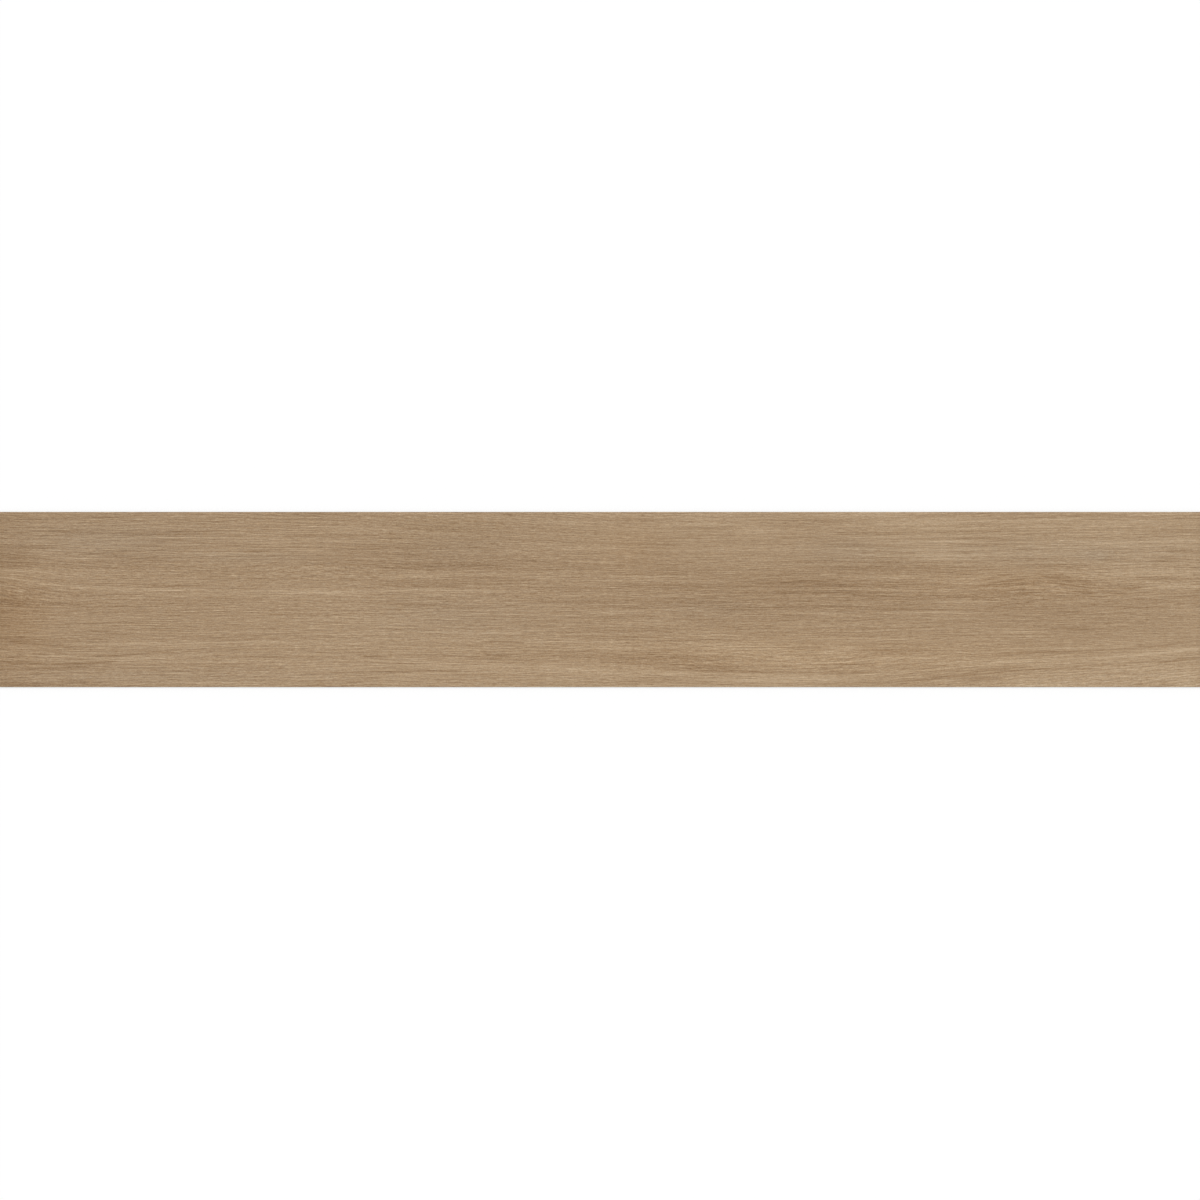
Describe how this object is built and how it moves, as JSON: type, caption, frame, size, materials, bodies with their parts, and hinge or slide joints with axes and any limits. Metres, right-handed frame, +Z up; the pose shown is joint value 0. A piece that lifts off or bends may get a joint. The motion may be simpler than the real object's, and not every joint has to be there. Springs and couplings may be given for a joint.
{
  "type": "vinyl floor plank",
  "caption": "Thin rectangular glue-down vinyl floor plank with a natural oak grain print, an embossed matt wear face, a fine micro-bevel and a flat back for adhesive.",
  "frame": {"origin": "middle of the back face, which lies on the floor", "axes": "+X along the plank's length and its grain, +Y across its width, +Z up out of the wear face"},
  "size_m": [1.2192, 0.1778, 0.0025],
  "materials": {
    "oak_print_vinyl": "matte"
  },
  "bodies": {
    "root": {"plank": "oak_print_vinyl"}
  },
  "joints": []
}
